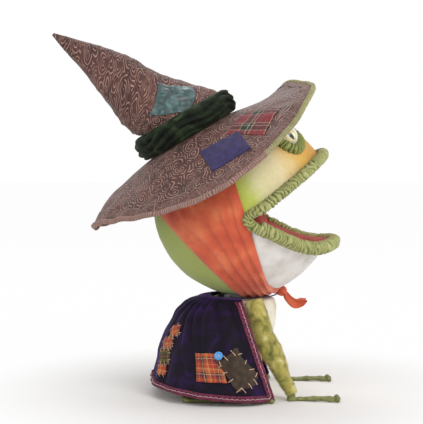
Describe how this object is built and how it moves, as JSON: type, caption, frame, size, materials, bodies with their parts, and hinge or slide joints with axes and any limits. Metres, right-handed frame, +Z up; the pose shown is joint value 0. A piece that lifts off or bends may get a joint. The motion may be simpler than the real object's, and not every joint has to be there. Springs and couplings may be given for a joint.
{
  "type": "seasonal animated figure",
  "caption": "Sitting soft-sculpture toad dressed as a witch, with pointed hat, scarf and cape; head turns and jaw swings shut.",
  "frame": {"origin": "on the floor plane under the head's turning axis, on the base plate's flat rest face", "axes": "+Z up, +X the way the toad looks, +Y to the toad's left"},
  "size_m": [0.3961, 0.3646, 0.4968],
  "materials": {
    "hat_cloth": "brown damask upholstery cloth with a paler woven scroll",
    "band_velvet": "crushed dark green velvet",
    "teal_satin": "creased teal satin",
    "tartan": "red tartan wool with dark, green and cream lines",
    "plum_felt": "purple pile felt",
    "hem_binding": "knitted olive binding with blanket stitch",
    "scarf_cotton": "plain orange cotton",
    "painted_skin": "stretched cloth painted green, cream and ochre",
    "throat_cloth": "white stretched cloth",
    "lip_cloth": "olive cloth gathered on a padded roll",
    "lid_cloth": "gathered green cloth",
    "mouth_lining": "red-orange lining cloth",
    "eye_paint": "cream painted ball with a black slit, varnished",
    "arm_plush": "short fuzzy pile, cream and olive",
    "hand_skin": "olive painted and slightly mottled",
    "cape_velvet": "purple-black silk velvet",
    "cape_braid": "crimson gimp braid with gold and white stitches",
    "neck_cord": "dark twisted cord",
    "brown_felt": "brown felt with large cream stitches",
    "blue_button": "pale blue four-hole button",
    "body_plastic": "moulded black",
    "frame_plastic": "moulded grey",
    "gear_plastic": "natural white acetal",
    "motor_can": "plated can and gearbox",
    "plain_steel": "bright drawn steel",
    "cell_jacket": "plain dark sleeve",
    "circuit_board": "green laminate"
  },
  "bodies": {
    "torso": {"base_plate": "body_plastic", "battery_box": "body_plastic", "battery_cells": "cell_jacket", "battery_door": "body_plastic", "base_screws": "plain_steel", "switch_case": "body_plastic", "speaker": "motor_can", "control_board": "circuit_board", "trunk_shell": "throat_cloth", "motor_deck": "frame_plastic", "neck_bush": "gear_plastic", "neck_motor": "motor_can", "left_arm": "arm_plush", "left_hand": "hand_skin", "left_haunch": "arm_plush", "left_foot": "hand_skin", "right_arm": "arm_plush", "right_hand": "hand_skin", "right_haunch": "arm_plush", "right_foot": "hand_skin", "arm_wires": "plain_steel", "cape": "cape_velvet", "cape_trim": "cape_braid", "collar_cord": "neck_cord", "cape_patch_tartan": "tartan", "cape_patch_felt": "brown_felt", "cape_patch_rear": "tartan", "cape_button": "blue_button"},
    "switch": {"switch_slider": "frame_plastic"},
    "neck_drive": {"neck_pinion": "gear_plastic"},
    "head": {"head_shell": "painted_skin", "head_chassis": "frame_plastic", "neck_tube": "frame_plastic", "neck_gear": "gear_plastic", "upper_lip": "lip_cloth", "palate_board": "frame_plastic", "palate_lining": "mouth_lining", "jaw_motor": "motor_can", "jaw_motor_saddle": "frame_plastic", "left_eye": "eye_paint", "left_eyelid": "lid_cloth", "right_eye": "eye_paint", "right_eyelid": "lid_cloth", "head_scarf": "scarf_cotton", "scarf_knot": "scarf_cotton", "hat_crown": "hat_cloth", "hat_brim": "hat_cloth", "brim_hem": "hem_binding", "hat_band": "band_velvet", "crown_patch": "teal_satin", "brim_patch_tartan": "tartan", "brim_patch_felt": "plum_felt"},
    "jaw": {"jaw_board": "frame_plastic", "jaw_axle": "plain_steel", "jaw_gear": "gear_plastic", "jaw_lining": "mouth_lining", "lower_lip": "lip_cloth", "throat_skin": "throat_cloth", "mouth_corners": "lip_cloth"},
    "jaw_drive": {"jaw_pinion": "gear_plastic"}
  },
  "joints": [
    {"name": "head_turn", "type": "hinge", "parent": "torso", "child": "head", "pos_m": [0, 0, 0.13], "axis": [0, 0, 1], "range_deg": [-20, 20]},
    {"name": "jaw_swing", "type": "hinge", "parent": "head", "child": "jaw", "pos_m": [0.008, 0, 0.25], "axis": [0, -1, 0], "range_deg": [0, 30], "deforming": ["throat_skin", "mouth_corners"]},
    {"name": "neck_pinion_spin", "type": "hinge", "parent": "torso", "child": "neck_drive", "pos_m": [-0.0375, 0, 0.115], "axis": [0, 0, 1], "range_deg": [-80, 80]},
    {"name": "jaw_pinion_spin", "type": "hinge", "parent": "head", "child": "jaw_drive", "pos_m": [-0.019, 0.043, 0.25], "axis": [0, -1, 0], "range_deg": [-86, 0]},
    {"name": "switch_slide", "type": "slide", "parent": "torso", "child": "switch", "axis": [0, 1, 0], "range_m": [0, 0.004]}
  ],
  "couplings": [
    {"joint": "neck_pinion_spin", "follows": "head_turn", "ratio": -4},
    {"joint": "jaw_pinion_spin", "follows": "jaw_swing", "ratio": -2.8571}
  ]
}
